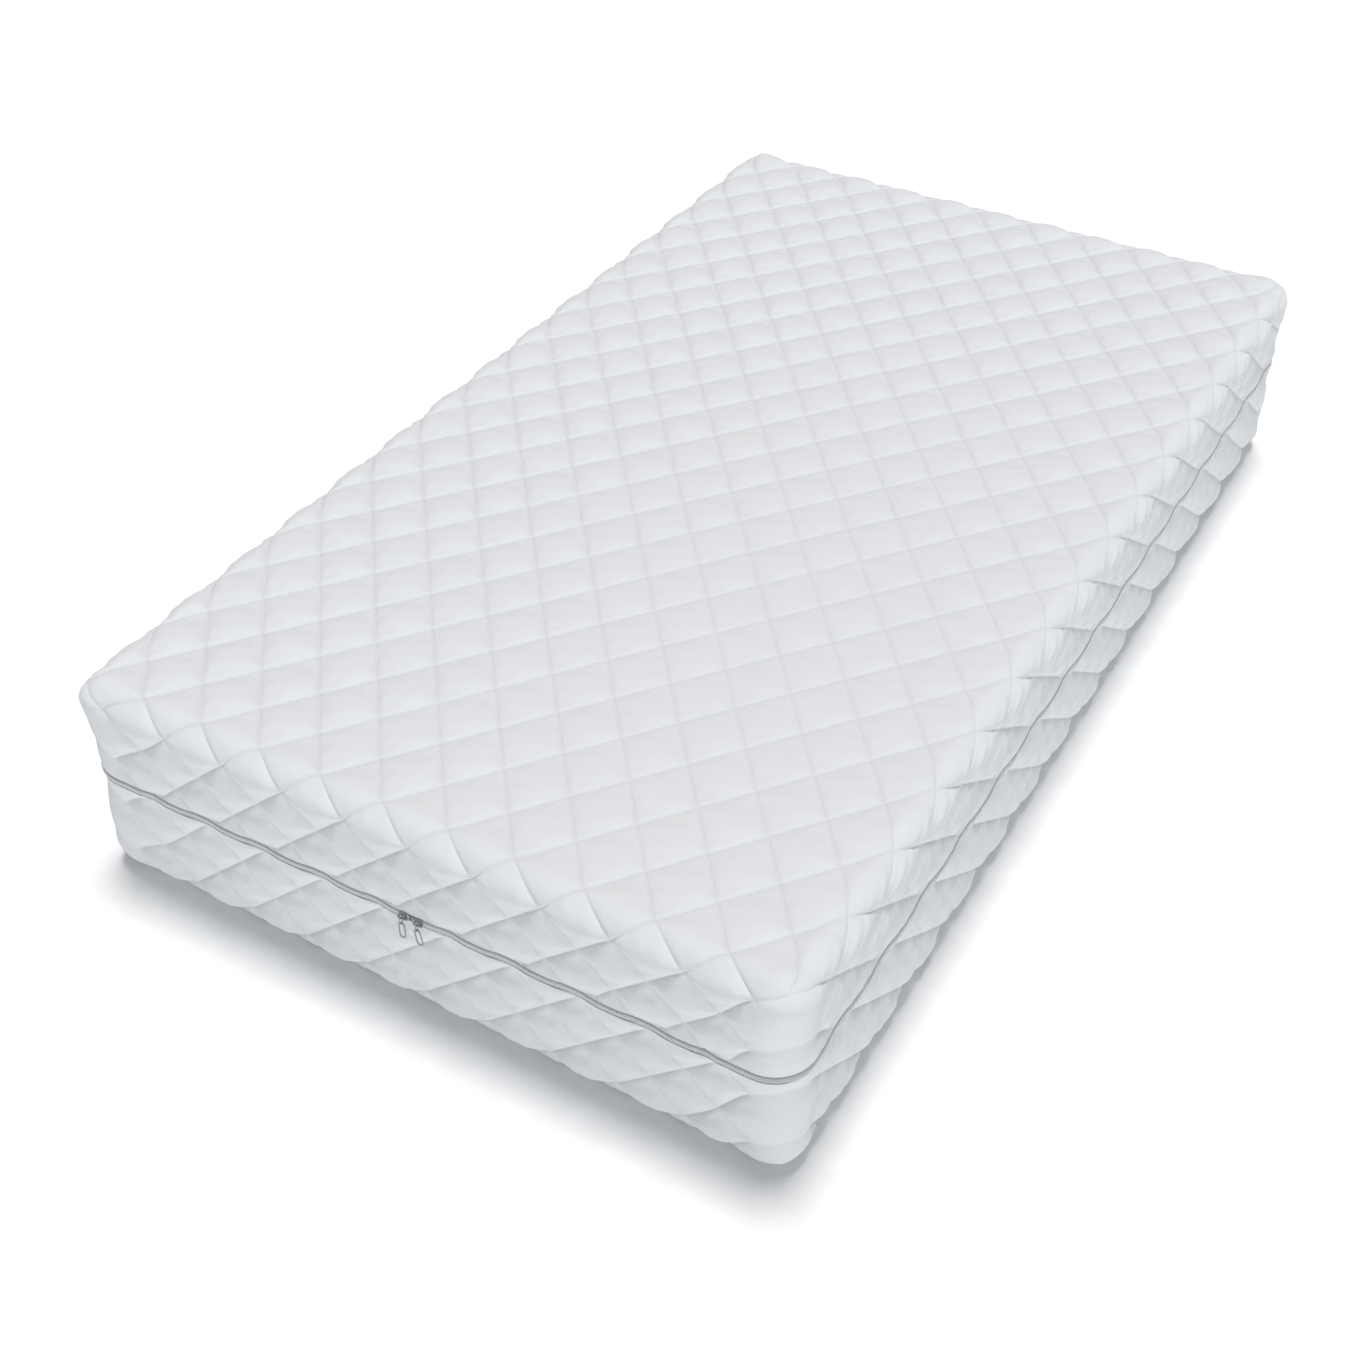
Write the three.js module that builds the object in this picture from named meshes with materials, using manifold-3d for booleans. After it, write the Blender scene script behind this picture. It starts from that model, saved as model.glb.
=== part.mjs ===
// A memory foam mattress in a quilted cover that a coil zip joins at mid height.
// Millimetres, +Z up. The origin is the middle of the flat underside, X runs across the mattress,
// Y runs along it, and the foot end, with the two zip sliders, faces -Y.
import * as THREE from "three";
import { mergeVertices } from "three/addons/utils/BufferGeometryUtils.js";
import Module from "manifold-3d";

const wasm = await Module();
wasm.setup();

// Outer size, over the tops of the quilted puffs.
const WIDTH = 910;
const LENGTH = 1590;
const HEIGHT = 277;
const CORNER_RADIUS = 49; // the four upright corners, in plan
const EDGE_RADIUS = 34; // the top and bottom edges

// Each layer lies between two depths under the outer surface.
const KNIT = { outer: 0, inner: 1.2 };
const WADDING = { outer: 1.5, inner: 8.7 };
const LINING = { outer: 9, inner: 9.6 };
const LABEL = { outer: 10, inner: 10.5 };
const SLEEVE = { outer: 11, inner: 11.8 };
const FOAM_DEPTH = 12.1;

// The foam block, from the bottom up.
const LAYER_GAP = 0.3;
const SUPPORT_THICKNESS = 150;
const TRANSITION_THICKNESS = 42.2;
const ZONE_CUT = { width: 6, depth: 45, pitch: 34 };
const CUTS_PER_ZONE = 5;
const ZONE_CENTRES = { shoulder: 480, hip: -40, calf: -500 };

// The zip, seen from outside: two tapes edge to edge, each carrying its half of the coil.
const ZIP_HEIGHT = 150;
const ZIP_MIDDLE_X = 5; // where the two ends of the zip meet, at the foot end
const KNIT_RIM = 4.8; // half the width of the slot between the two halves of the cover
const PADDING_RIM = 15; // the wadding and lining stop this far from the zip
const TAPE = { outer: 1.8, inner: 2.4, near: 0.55, far: 14 };
const COIL = { outer: 0.1, inner: 1.5, near: 0.55, far: 3.2 };
const END_STOP = { outer: -0.1, inner: 1.5, near: 0.55, far: 3.4, from: 0.8, to: 3.2 };
const TAPE_END = 0.6; // half the gap between the two ends of the tape
const COIL_END = 3.6; // half the gap between the two ends of the coil, filled by the end stops

// The sliders. Heights are out from the outer surface of the mattress.
const SLIDER_OFFSET = 10; // from ZIP_MIDDLE_X to the middle of each slider
const SLIDER_LENGTH = 11;
const SLIDER_HALF_HEIGHT = 4.3;
const FRONT_PLATE = { low: 0.3, high: 1.5 };
const BACK_PLATE = { low: -4, high: -2.8 };
const POST_THICKNESS = 0.5;
const POST_LENGTH = 4;
const FLANGE = { low: -1.3, near: 3.6 };
const BRIDGE_FOOT = 1.8;
const BRIDGE_BAR = { height: 4.3, thickness: 1.2, halfLength: 4.5, corner: 1.4 };
const LINK = { wire: 1, halfWidth: 1.9, top: -0.5, bottom: -6.5 };
const PULL = { wire: 1.6, halfWidth: 3.7, length: 24 };
const WIRE_GAP = 0.3;
const REST_SWAY = { left: 0, right: 8 }; // degrees, outwards from hanging straight down

const NAP = new THREE.Color(0xe6e7ea);
const finishes = {
  knit: { color: NAP, roughness: 0.85, metalness: 0 },
  wadding: { color: 0xf2f2ef, roughness: 0.95, metalness: 0 },
  lining: { color: 0xe9e9e6, roughness: 0.9, metalness: 0 },
  sleeve: { color: 0xeeeeea, roughness: 0.9, metalness: 0 },
  memoryFoam: { color: 0xf1efe4, roughness: 0.8, metalness: 0 },
  transitionFoam: { color: 0xd6e2ea, roughness: 0.85, metalness: 0 },
  supportFoam: { color: 0xf5f3ee, roughness: 0.85, metalness: 0 },
  tape: { color: 0xc4c6ca, roughness: 0.85, metalness: 0 },
  coil: { color: 0xb4b7bb, roughness: 0.45, metalness: 0 },
  label: { color: 0xf4f4f4, roughness: 0.6, metalness: 0 },
  zinc: { color: 0xb9bcc0, roughness: 0.3, metalness: 1 },
};

// A three.js geometry as a manifold-3d solid.
function solid(geometry) {
  const bare = new THREE.BufferGeometry();
  bare.setAttribute("position", geometry.getAttribute("position"));
  bare.setIndex(geometry.index);
  const merged = mergeVertices(bare, 1e-4);
  return new wasm.Manifold(
    new wasm.Mesh({
      numProp: 3,
      vertProperties: merged.getAttribute("position").array,
      triVerts: new Uint32Array(merged.index.array),
    }),
  );
}

// A manifold-3d solid as a named three.js mesh.
function part(name, shape, finish) {
  const { vertProperties, triVerts } = shape.getMesh();
  const geometry = new THREE.BufferGeometry();
  geometry.setAttribute("position", new THREE.BufferAttribute(vertProperties, 3));
  geometry.setIndex(new THREE.BufferAttribute(triVerts, 1));
  geometry.computeVertexNormals();
  const mesh = new THREE.Mesh(geometry, new THREE.MeshStandardMaterial(finishes[finish]));
  mesh.name = name;
  return mesh;
}

// A box between two opposite corners.
function block([x0, y0, z0], [x1, y1, z1]) {
  const geometry = new THREE.BoxGeometry(x1 - x0, y1 - y0, z1 - z0);
  geometry.translate((x0 + x1) / 2, (y0 + y1) / 2, (z0 + z1) / 2);
  return solid(geometry);
}

// Everything between two heights.
function band(low, high) {
  return block([-WIDTH, -LENGTH, low], [WIDTH, LENGTH, high]);
}

// A rectangle with rounded corners about the origin, drawn into a shape or a hole.
function roundedRectangle(path, width, length, radius) {
  const x = width / 2 - radius;
  const y = length / 2 - radius;
  const centres = [[x, y], [-x, y], [-x, -y], [x, -y]];
  centres.forEach(([cx, cy], turn) => {
    const start = (turn * Math.PI) / 2;
    path.absarc(cx, cy, radius, start, start + Math.PI / 2);
  });
  path.closePath();
  return path;
}

// The whole mattress drawn in by a depth on every side, with its upright corners and its top and
// bottom edges rounded. A rounded rectangle is swollen outwards and upwards by a quarter circle.
function body(depth) {
  const core = roundedRectangle(
    new THREE.Shape(),
    WIDTH - 2 * EDGE_RADIUS,
    LENGTH - 2 * EDGE_RADIUS,
    CORNER_RADIUS - EDGE_RADIUS,
  );
  const geometry = new THREE.ExtrudeGeometry(core, {
    depth: HEIGHT - 2 * EDGE_RADIUS,
    bevelThickness: EDGE_RADIUS - depth,
    bevelSize: EDGE_RADIUS - depth,
    bevelSegments: 5,
    curveSegments: 3,
  });
  geometry.translate(0, 0, EDGE_RADIUS);
  return solid(geometry);
}

// A skin that follows the whole mattress between two depths.
function skin({ outer, inner }) {
  return body(outer).subtract(body(inner));
}

// The two halves of the cover, each stopping a rim's width from the zip.
const halves = {
  upper: { side: 1, keep: (rim) => band(ZIP_HEIGHT + rim, HEIGHT + 1) },
  lower: { side: -1, keep: (rim) => band(-1, ZIP_HEIGHT - rim) },
};

function coverHalf(half) {
  const { keep } = halves[half];
  return [
    part(`${half}_cover_knit`, skin(KNIT).intersect(keep(KNIT_RIM)), "knit"),
    part(`${half}_cover_wadding`, skin(WADDING).intersect(keep(PADDING_RIM)), "wadding"),
    part(`${half}_cover_lining`, skin(LINING).intersect(keep(PADDING_RIM)), "lining"),
  ];
}

// A flat ring round the mattress between two depths, standing from near to far on one side of the
// zip's middle line, and open at the foot end where the two ends of the zip meet.
function zipRing({ outer, inner, near, far }, side, endGap) {
  const outline = (path, depth) =>
    roundedRectangle(path, WIDTH - 2 * depth, LENGTH - 2 * depth, CORNER_RADIUS - depth);
  const ring = outline(new THREE.Shape(), outer);
  ring.holes.push(outline(new THREE.Path(), inner));
  const geometry = new THREE.ExtrudeGeometry(ring, {
    depth: far - near,
    bevelEnabled: false,
    curveSegments: 3,
  });
  geometry.translate(0, 0, ZIP_HEIGHT + (side > 0 ? near : -far));
  const opening = block(
    [ZIP_MIDDLE_X - endGap, -LENGTH, 0],
    [ZIP_MIDDLE_X + endGap, 0, HEIGHT],
  );
  return solid(geometry).subtract(opening);
}

// A small clamp on the end of the coil, which keeps the slider on.
function endStop(side, direction) {
  const { outer, inner, near, far, from, to } = END_STOP;
  const [x0, x1] = [direction * from, direction * to].sort((a, b) => a - b);
  const [z0, z1] = [side * near, side * far].sort((a, b) => a - b);
  return block(
    [ZIP_MIDDLE_X + x0, outer - LENGTH / 2, ZIP_HEIGHT + z0],
    [ZIP_MIDDLE_X + x1, inner - LENGTH / 2, ZIP_HEIGHT + z1],
  );
}

function zipHalf(half) {
  const { side } = halves[half];
  return [
    part(`zip_tape_${half}`, zipRing(TAPE, side, TAPE_END), "tape"),
    part(`zip_coil_${half}`, zipRing(COIL, side, COIL_END), "coil"),
    part(`end_stop_${half}_left`, endStop(side, -1), "zinc"),
    part(`end_stop_${half}_right`, endStop(side, 1), "zinc"),
  ];
}

// The support core, with cross cuts in its top that soften the shoulder, hip and calf zones.
function supportCore() {
  const top = FOAM_DEPTH + SUPPORT_THICKNESS;
  const cuts = [];
  for (const centre of Object.values(ZONE_CENTRES)) {
    for (let i = 0; i < CUTS_PER_ZONE; i++) {
      const y = centre + (i - (CUTS_PER_ZONE - 1) / 2) * ZONE_CUT.pitch;
      cuts.push(
        block(
          [-WIDTH, y - ZONE_CUT.width / 2, top - ZONE_CUT.depth],
          [WIDTH, y + ZONE_CUT.width / 2, top + 1],
        ),
      );
    }
  }
  const core = body(FOAM_DEPTH).intersect(band(0, top));
  return cuts.reduce((left, cut) => left.subtract(cut), core);
}

function foam() {
  const transitionLow = FOAM_DEPTH + SUPPORT_THICKNESS + LAYER_GAP;
  const transitionHigh = transitionLow + TRANSITION_THICKNESS;
  const block = body(FOAM_DEPTH);
  const transition = block.intersect(band(transitionLow, transitionHigh));
  const memory = block.intersect(band(transitionHigh + LAYER_GAP, HEIGHT));
  return [
    part("support_foam_core", supportCore(), "supportFoam"),
    part("transition_foam_layer", transition, "transitionFoam"),
    part("memory_foam_layer", memory, "memoryFoam"),
  ];
}

// The sleeve is a bag pulled over the foam from the head end, where a seam closes its mouth.
function sleeve() {
  const mouth = { halfWidth: 380, halfHeight: 1.5, height: ZIP_HEIGHT };
  const seamGap = 0.3;
  const outside = LENGTH / 2 - SLEEVE.outer;
  const inside = LENGTH / 2 - SLEEVE.inner;
  const slit = block(
    [-mouth.halfWidth, inside - 1, mouth.height - mouth.halfHeight],
    [mouth.halfWidth, outside + 1, mouth.height + mouth.halfHeight],
  );
  const seam = block(
    [seamGap - mouth.halfWidth, inside, mouth.height - mouth.halfHeight + seamGap],
    [mouth.halfWidth - seamGap, outside, mouth.height + mouth.halfHeight - seamGap],
  );
  return [
    part("inner_sleeve", skin(SLEEVE).subtract(slit), "sleeve"),
    part("sleeve_end_seam", seam, "sleeve"),
  ];
}

// A blank label that hangs inside the cover, below the zip.
function careLabel() {
  const size = { width: 40, height: 60 };
  const place = { x: 140, top: ZIP_HEIGHT - 8 };
  const shape = block(
    [place.x - size.width / 2, LABEL.outer - LENGTH / 2, place.top - size.height],
    [place.x + size.width / 2, LABEL.inner - LENGTH / 2, place.top],
  );
  return part("care_label", shape, "label");
}

// A plate that faces out of the foot end, with rounded corners, between two heights.
function plate(width, height, radius, { low, high }) {
  const geometry = new THREE.ExtrudeGeometry(
    roundedRectangle(new THREE.Shape(), width, height, radius),
    { depth: high - low, bevelEnabled: false, curveSegments: 2 },
  );
  geometry.rotateX(Math.PI / 2);
  geometry.translate(0, -low, 0);
  return solid(geometry);
}

// One casting: a front plate, a back plate behind the tapes, the post between the two coils that
// joins them, and a flange along each edge of the front plate.
function sliderBody() {
  const height = 2 * SLIDER_HALF_HEIGHT;
  const flangeThickness = SLIDER_HALF_HEIGHT - FLANGE.near;
  const halfFlange = SLIDER_LENGTH / 2 - 1.5;
  const flange = (z) =>
    block([-halfFlange, -FRONT_PLATE.low - 0.5, z], [halfFlange, -FLANGE.low, z + flangeThickness]);
  const post = block(
    [-POST_LENGTH / 2, -FRONT_PLATE.low - 0.5, -POST_THICKNESS / 2],
    [POST_LENGTH / 2, -BACK_PLATE.high + 0.5, POST_THICKNESS / 2],
  );
  return plate(SLIDER_LENGTH, height, 1.8, FRONT_PLATE)
    .add(plate(SLIDER_LENGTH, height, 1.8, BACK_PLATE))
    .add(post)
    .add(flange(FLANGE.near))
    .add(flange(-SLIDER_HALF_HEIGHT));
}

// The arch on the front plate whose bar carries the link.
function bridge() {
  const { height, thickness, halfLength, corner } = BRIDGE_BAR;
  const outline = (path, foot, half, top, radius) => {
    path.moveTo(-half, -foot);
    path.lineTo(-half, radius - top);
    path.absarc(radius - half, radius - top, radius, Math.PI, 1.5 * Math.PI);
    path.absarc(half - radius, radius - top, radius, -Math.PI / 2, 0);
    path.lineTo(half, -foot);
  };
  const arch = new THREE.Shape();
  outline(arch, BRIDGE_FOOT, halfLength, height + thickness / 2, corner);
  const under = new THREE.Shape();
  outline(under, 0, halfLength - thickness, height - thickness / 2, corner / 2);
  const across = (shape, halfDepth) => {
    const geometry = new THREE.ExtrudeGeometry(shape, {
      depth: 2 * halfDepth,
      bevelEnabled: false,
      curveSegments: 2,
    });
    geometry.translate(0, 0, -halfDepth);
    return solid(geometry);
  };
  return across(arch, thickness / 2).subtract(across(under, thickness));
}

// The middle line of a long link: two straight sides joined by half circles.
class LinkCurve extends THREE.Curve {
  constructor(halfWidth, top, bottom) {
    super();
    Object.assign(this, { halfWidth, top, bottom });
  }

  getPoint(t, target = new THREE.Vector3()) {
    const side = this.top - this.bottom;
    const arc = Math.PI * this.halfWidth;
    let along = (t % 1) * 2 * (side + arc);
    const far = along >= side + arc;
    if (far) along -= side + arc;
    const sign = far ? -1 : 1;
    if (along < side) {
      const z = far ? this.top - along : this.bottom + along;
      return target.set(sign * this.halfWidth, 0, z);
    }
    const angle = (along - side) / this.halfWidth;
    const z = (far ? this.bottom : this.top) + sign * this.halfWidth * Math.sin(angle);
    return target.set(sign * this.halfWidth * Math.cos(angle), 0, z);
  }
}

// A closed loop of round wire in the XZ plane.
function wireLoop(halfWidth, top, bottom, wire, steps) {
  const route = new LinkCurve(halfWidth, top, bottom);
  return solid(new THREE.TubeGeometry(route, steps, wire / 2, 8, true));
}

// The link hangs on the bridge's bar, edge on to the mattress.
function connectingLink() {
  return wireLoop(LINK.halfWidth, LINK.top, LINK.bottom, LINK.wire, 24).rotate([0, 0, 90]);
}

// The pull hangs on the link's lowest wire, flat to the mattress. Its origin is that wire's middle.
function pullLoop() {
  const topWire = LINK.wire / 2 + WIRE_GAP + PULL.wire / 2;
  const bottomWire = topWire + PULL.wire - PULL.length;
  return wireLoop(
    PULL.halfWidth,
    topWire - PULL.halfWidth,
    bottomWire + PULL.halfWidth,
    PULL.wire,
    36,
  );
}

function slider(name, direction) {
  const group = new THREE.Group();
  group.position.set(ZIP_MIDDLE_X + direction * SLIDER_OFFSET, -LENGTH / 2, ZIP_HEIGHT);
  group.add(part(`slider_body_${name}`, sliderBody(), "zinc"));
  group.add(part(`slider_bridge_${name}`, bridge(), "zinc"));
  const link = part(`connecting_link_${name}`, connectingLink(), "zinc");
  link.position.y = -BRIDGE_BAR.height;
  const pull = part(`pull_${name}`, pullLoop(), "zinc");
  pull.position.set(0, -BRIDGE_BAR.height, LINK.bottom - LINK.halfWidth);
  pull.rotation.y = THREE.MathUtils.degToRad(-direction * REST_SWAY[name]);
  group.add(link, pull);
  return group;
}

const mattress = new THREE.Group();
mattress.add(...foam());
mattress.add(...sleeve());
mattress.add(...coverHalf("lower"));
mattress.add(...coverHalf("upper"));
mattress.add(...zipHalf("lower"));
mattress.add(...zipHalf("upper"));
mattress.add(careLabel());
mattress.add(slider("left", -1));
mattress.add(slider("right", 1));

export default mattress;
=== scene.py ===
import math

import bpy
import numpy as np
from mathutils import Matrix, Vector


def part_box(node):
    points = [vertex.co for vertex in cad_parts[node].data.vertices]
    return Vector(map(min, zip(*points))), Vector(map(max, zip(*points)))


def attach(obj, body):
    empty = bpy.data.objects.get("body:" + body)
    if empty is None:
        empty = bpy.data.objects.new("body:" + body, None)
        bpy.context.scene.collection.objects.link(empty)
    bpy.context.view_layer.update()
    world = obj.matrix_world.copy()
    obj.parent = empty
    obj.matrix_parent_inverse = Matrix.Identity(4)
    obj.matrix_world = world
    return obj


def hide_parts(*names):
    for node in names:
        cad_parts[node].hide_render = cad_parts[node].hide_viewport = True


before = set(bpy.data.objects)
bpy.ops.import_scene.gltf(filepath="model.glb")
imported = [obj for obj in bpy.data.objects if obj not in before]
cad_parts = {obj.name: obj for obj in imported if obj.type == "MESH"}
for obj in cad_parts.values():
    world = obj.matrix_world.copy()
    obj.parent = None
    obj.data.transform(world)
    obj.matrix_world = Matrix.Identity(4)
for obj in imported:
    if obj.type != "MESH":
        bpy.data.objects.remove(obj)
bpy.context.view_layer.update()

MM = 0.001

# The cover's outside: the tops of the quilted puffs lie on a rounded box.
HALF_WIDTH, HALF_LENGTH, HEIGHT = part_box("upper_cover_knit")[1]
CORNER_RADIUS = 49 * MM
EDGE_RADIUS = 34 * MM

# A flat core lies one edge radius inside the outside, and every surface point is reached
# from the core along an outward direction.
CORE_WIDTH = HALF_WIDTH - EDGE_RADIUS
CORE_LENGTH = HALF_LENGTH - EDGE_RADIUS
CORE_CORNER = CORNER_RADIUS - EDGE_RADIUS
CORE_TOP = HEIGHT - EDGE_RADIUS
FILLET = EDGE_RADIUS * math.pi / 2  # the way over a rounded edge

# The zip runs round the middle of the side walls, in the slot between the cover's halves.
ZIP_Z = 150 * MM
ZIP_END_X = 5 * MM  # where the zip's two ends meet, between the sliders
TRAVEL_END = 397 * MM  # from the middle of the foot end to a slider at the end of its travel
RIM = 4.8 * MM  # from the zip's middle line to the knit
PADDING_RIM = 15 * MM  # and to the wadding and the lining
TAPE_DEPTH = 1.8 * MM
TAPE_THICKNESS = 0.6 * MM
TAPE_NEAR = 0.55 * MM  # from the zip's middle line to the tape's two edges
TAPE_FAR = 14 * MM
TUCK_START = 4 * MM  # where the tape starts to go in behind the knit
TUCK_RUN = 7 * MM
TAPE_SLACK = 0.9 * MM  # how far the seams draw in before the tape follows them
TAPE_TUCK = 7.8 * MM  # depth of the tape's far edge, behind the deepest seams
COIL_PITCH = 2.4 * MM
COIL_WIRE = 0.35 * MM
COIL_MIDDLE = 1.6 * MM  # from the zip's middle line to the middle of a tooth
COIL_REACH = 1.45 * MM  # half the height of a tooth
COIL_DEPTH = 0.85 * MM
COIL_RISE = 0.4 * MM
COIL_STEPS = 10  # mesh steps in a turn

# Quilting: a lattice of diamonds, CELL_X by CELL_Y, whose seams are where the phases
# a = p + q and b = p - q are whole numbers, with p and q the distances in cells.
CELL_X = 80.77 * MM
CELL_Y = 101.98 * MM
STEPS = 16  # mesh steps along each side of a diamond
PER_CELL = 2 * STEPS
EDGE_I = 167  # mesh steps from the middle of the top to the start of its edges
EDGE_J = 239
FIRST_ROW = 0.2  # the phase, in mesh steps, by which row 0 lies past the top's edge
UPPER_PITCH = 74.5 * MM  # height of a cell on the upper half's walls
LOWER_PITCH = 76.35 * MM
LOWER_PHASE = 2.537  # the walls' phase at LOWER_Z
LOWER_Z = 114.9 * MM
SEAM_DEPTH = 6 * MM  # the usual depth of a seam under the tops of the puffs
DEEPEST = 7.9 * MM
PUFF_UNEVEN = 0.07  # the share by which a puff is higher or lower than the others
TOP_CREASES = 0.3  # the share of the simulated creases that shows
WALL_CREASES = 0.35
FLUTES = 4  # flutes across a diamond
SIDE_FLUTES = 0.2  # their height on the long sides, as a share of the puff's
END_FLUTES = 0.04
SHARPEN = 3 * MM  # how far the upright corners are pushed out
SHARP_REACH = 24 * MM  # the plan distance over which that fades
SHARP_SEAM = 0.55  # seams at least this strong are sharp
FOOT_DROP = 0.08  # at the foot end the pattern hangs this many cells lower
LOWER_FOOT_DROP = 0.125
FOOT_SLIDE = 6.3 * MM  # and lies this far to the right
PATTERN_RAMP = 0.6  # the cells below the top's edge over which such changes build up
UPPER_LAST = 60  # the quilted rows next to the zip
LOWER_FIRST = 65
LOWER_LAST = 137
UPPER_END = FILLET + CORE_TOP - 156 * MM  # the way down from the top's edge to the last row
LOWER_START = 143 * MM  # the height of the lower half's first row
ROW_SQUEEZE = 0.5 * MM  # between rows that crowd up against the zip
RIM_BLEND = 17 * MM  # the height over which the puffs flatten towards the zip
RIM_SLOPE = 0.75  # how steeply the knit may draw in away from the zip
RIM_LOOSE = 0.12  # the share of the puffs that is left at the zip
RIM_BEHIND = 1.8 * MM  # how far the knit's rim lies behind the zip's plain place
RIM_LIFT = 0.3 * MM  # the seams next to the zip lie this far in front of that
UNDERSIDE_START = math.radians(35)  # how far round the bottom edge the quilting starts to end
UNDERSIDE_RUN = math.radians(40)
COARSE = 4  # the layers under the knit use every fourth mesh step
UPPER_LAYER_ROWS = range(0, 16)
LOWER_LAYER_ROWS = range(16, 35)

# Depths of the layers inside the cover, from its outside.
WADDING_GAP = 2.9 * MM  # between the knit's surface and the wadding's
WADDING_BACK = 8.7 * MM
WADDING_EDGE = 0.45 * MM  # its thickness where it is squeezed flat
WADDING_SQUEEZE = 16 * MM  # the height over which that happens
LINING_FRONT = 8.95 * MM
LINING_DIMPLE = 0.25 * MM  # where the stitches pull it in
LINING_THICKNESS = 0.5 * MM
SLEEVE_FRONT = 11 * MM
SLEEVE_THICKNESS = 0.5 * MM
SLEEVE_FOLD = 0.3 * MM
RIB_PITCH = 1.6 * MM
STITCH = 1.5 * MM  # the overlocked thread's step
STITCH_HEIGHT = 0.9 * MM
THREAD_RADIUS = 0.25 * MM
LABEL_HALF = 0.08 * MM  # half the thickness of the satin
SEAM_SPAN = CELL_X * CELL_Y / math.hypot(CELL_X, CELL_Y)  # between parallel seams

# The camera fitted to the outline of the mattress.
CAMERA_PLACE = (0.904, -1.791, 1.594)
CAMERA_VIEW = (-0.38453, 0.65949, -0.64591)
CAMERA_LENS = 49.6
FLOOR_REACH = 14


def smoothstep(t):
    """0 up to t = 0, 1 from t = 1, and a smooth rise between."""
    t = np.clip(t, 0, 1)
    return t * t * (3 - 2 * t)


# ---------------------------------------------------------------- meshes


def mesh_object(name, points, faces):
    mesh = bpy.data.meshes.new(name)
    mesh.from_pydata(np.asarray(points).tolist(), [], faces)
    mesh.update()
    mesh.polygons.foreach_set("use_smooth", [True] * len(mesh.polygons))
    piece = bpy.data.objects.new(name, mesh)
    bpy.context.scene.collection.objects.link(piece)
    return piece


def put_corner_vectors(piece, name, values):
    """values holds one vector for each corner of each face, in face order."""
    layer = piece.data.attributes.new(name, "FLOAT_VECTOR", "CORNER")
    layer.data.foreach_set("vector", np.asarray(values, np.float32).ravel())


def evaluated(piece):
    """The piece as its modifiers make it."""
    return piece.evaluated_get(bpy.context.evaluated_depsgraph_get())


# ---------------------------------------------------------------- the simulated puffs


PATCH_CELLS = 6
PATCH_POINTS = PATCH_CELLS * STEPS + 1
KINDS = PATCH_CELLS - 2  # the patch's inner diamonds are KINDS by KINDS
LAST_FRAME = 30


def puff_patch():
    """A flat patch of diamonds, as a mesh whose seams are rows of vertices. The puffs start
    a little raised and uneven, so that they blow up outwards and crease."""
    count = PATCH_POINTS
    u, v = np.meshgrid(np.arange(count), np.arange(count), indexing="ij")
    x = CELL_X * (u + v) / PER_CELL
    y = CELL_Y * (u - v) / PER_CELL
    seam = (u % STEPS == 0) | (v % STEPS == 0)
    dome = np.abs(np.sin(np.pi * u / STEPS) * np.sin(np.pi * v / STEPS))
    rng = np.random.default_rng(7)
    z = np.where(seam, 0, 4 * MM * np.sqrt(dome) + rng.normal(0, 0.05 * MM, u.shape))
    corner = (u * count + v)[:-1, :-1].ravel()
    faces = np.stack([corner, corner + count, corner + count + 1, corner + 1], 1)
    patch = mesh_object("puff_patch", np.stack([x, y, z], -1).reshape(-1, 3), faces.tolist())
    pins = patch.vertex_groups.new(name="seams")
    pins.add(np.flatnonzero(seam.ravel()).tolist(), 1.0, "REPLACE")
    return patch, np.stack([x, y], -1)


def inflate(patch):
    """Blows the patch up with Cloth, held at its seams, and returns its points after it."""
    cloth = patch.modifiers.new("Cloth", "CLOTH")
    settings = cloth.settings
    settings.quality = 6
    settings.mass = 0.1
    settings.tension_stiffness = 15
    settings.compression_stiffness = 15
    settings.shear_stiffness = 8
    settings.bending_stiffness = 8
    settings.air_damping = 5
    settings.vertex_group_mass = "seams"
    settings.shrink_min = -0.014
    settings.use_pressure = True
    settings.uniform_pressure_force = 1
    settings.effector_weights.gravity = 0
    cloth.collision_settings.use_collision = False
    cloth.point_cache.frame_start = 1
    cloth.point_cache.frame_end = LAST_FRAME
    scene = bpy.context.scene
    for step in range(1, LAST_FRAME + 1):
        scene.frame_set(step)
    bpy.context.view_layer.update()
    vertices = evaluated(patch).data.vertices
    shape = np.zeros(len(vertices) * 3, np.float32)
    vertices.foreach_get("co", shape)
    scene.frame_set(1)
    return shape.reshape(-1, 3).astype(float)


def puff_tables():
    """The plain puff, and how the creased puffs differ from their mean, as the moves
    (across, along, out) of a diamond's mesh points. Out is 0 at a seam and 1 at a puff's top."""
    side = np.abs(np.sin(np.pi * np.arange(STEPS + 1) / STEPS)) ** 0.8
    plain = np.zeros((STEPS + 1, STEPS + 1, 3))
    plain[..., 2] = np.outer(side, side) ** 0.75
    creases = np.zeros((KINDS, KINDS, STEPS + 1, STEPS + 1, 3))
    patch, flat = puff_patch()
    shape = inflate(patch).reshape(PATCH_POINTS, PATCH_POINTS, 3)
    bpy.data.objects.remove(patch)
    moves = np.concatenate([shape[..., :2] - flat, shape[..., 2:]], -1)
    for row in range(KINDS):
        for column in range(KINDS):
            low_u = (row + 1) * STEPS
            low_v = (column + 1) * STEPS
            creases[row, column] = moves[low_u:low_u + STEPS + 1, low_v:low_v + STEPS + 1]
    out = creases[..., 2].mean((0, 1))
    out = (out + out.T + out[::-1, ::-1] + out.T[::-1, ::-1]) / 4
    top = out.max()
    creases[..., 2] /= top
    creases[..., 2] -= out / top
    plain[..., 2] = 1 - (1 - out / top) ** 1.45
    return plain, creases


PLAIN_PUFF, CREASES = puff_tables()


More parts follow.
